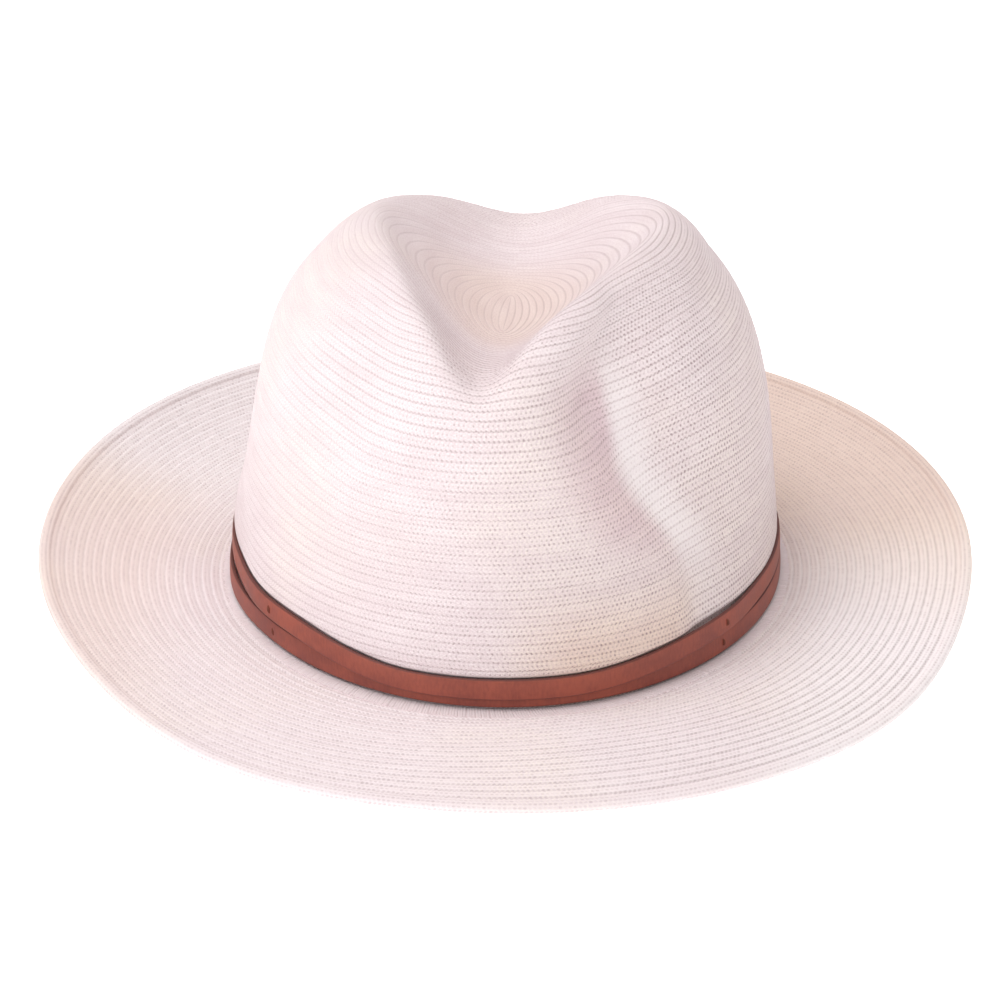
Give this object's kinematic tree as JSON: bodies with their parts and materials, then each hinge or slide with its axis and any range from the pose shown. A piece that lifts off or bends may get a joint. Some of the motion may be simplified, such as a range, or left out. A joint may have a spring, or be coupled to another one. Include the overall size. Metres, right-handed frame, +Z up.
{
  "type": "sewn braid fedora hat",
  "caption": "Brimmed fedora of sewn straw-coloured braid, with a teardrop crown dented on top, pinched sides and a leather strap band.",
  "frame": {"origin": "centre of the hat's box, on the surface it lies on", "axes": "+Z up, -Y towards the front of the hat, +X towards the wearer's left"},
  "size_m": [0.2998, 0.3396, 0.1203],
  "materials": {
    "braid": "matt off-white braided paper straw, sewn in overlapping rows",
    "strap": "semi-matt red-brown leather with darker cut edges",
    "thread": "twisted sewing thread",
    "sweatband": "matt ribbed ribbon"
  },
  "bodies": {
    "root": {"crown": "braid", "brim": "braid", "edge_row": "braid", "seam_thread": "thread", "lower_strap": "strap", "upper_strap": "strap", "strap_keeper": "strap", "keeper_stitch": "thread", "tack_left_upper": "thread", "tack_left_lower": "thread", "tack_right_upper": "thread", "tack_right_lower": "thread", "sweatband": "sweatband", "sweatband_reed": "sweatband", "sweatband_stitching": "thread", "sweatband_bow": "sweatband", "size_tab": "sweatband"}
  },
  "joints": []
}
